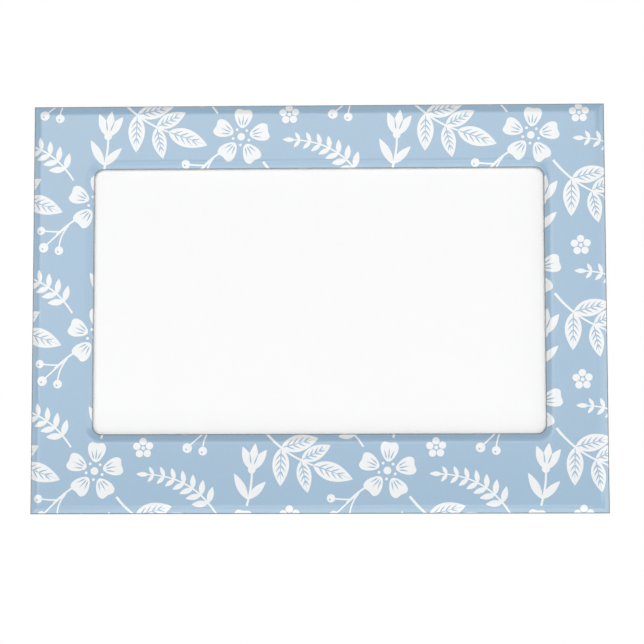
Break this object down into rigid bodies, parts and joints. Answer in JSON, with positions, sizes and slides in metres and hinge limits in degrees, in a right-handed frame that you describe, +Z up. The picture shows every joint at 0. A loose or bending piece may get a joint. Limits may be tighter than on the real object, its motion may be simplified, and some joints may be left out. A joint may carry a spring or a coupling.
{
  "type": "magnetic photo frame",
  "caption": "Flat landscape photo frame with bevelled edges and a light blue floral print, a clear window, a slip-in pocket open at the top and a flexible magnet back for steel doors.",
  "frame": {"origin": "middle of the magnet sheet's back face, where the frame meets the steel that holds it", "axes": "+X along the frame's width, to the right seen from the front; +Y out of the back, into the steel; +Z up"},
  "size_m": [0.1778, 0.006, 0.127],
  "materials": {
    "white_core": "satin",
    "printed_film": "gloss",
    "clear_pane": "gloss",
    "photo_paper": "satin",
    "bonding_tape": "satin",
    "back_board": "matte",
    "magnet_glue": "matte",
    "flexible_magnet": "matte"
  },
  "bodies": {
    "frame": {"face_frame": "white_core", "print_film": "printed_film", "window_pane": "clear_pane", "pane_tape_left": "bonding_tape", "pane_tape_right": "bonding_tape", "pane_tape_top": "bonding_tape", "pane_tape_bottom": "bonding_tape", "back_panel": "back_board", "panel_tape_left": "bonding_tape", "panel_tape_right": "bonding_tape", "panel_tape_bottom": "bonding_tape", "magnet_adhesive": "magnet_glue", "magnet_sheet": "flexible_magnet"},
    "photo": {"photo_insert": "photo_paper"}
  },
  "joints": [
    {"name": "photo_slide", "type": "slide", "parent": "frame", "child": "photo", "axis": [0, 0, 1], "range_m": [0, 0.105]}
  ]
}
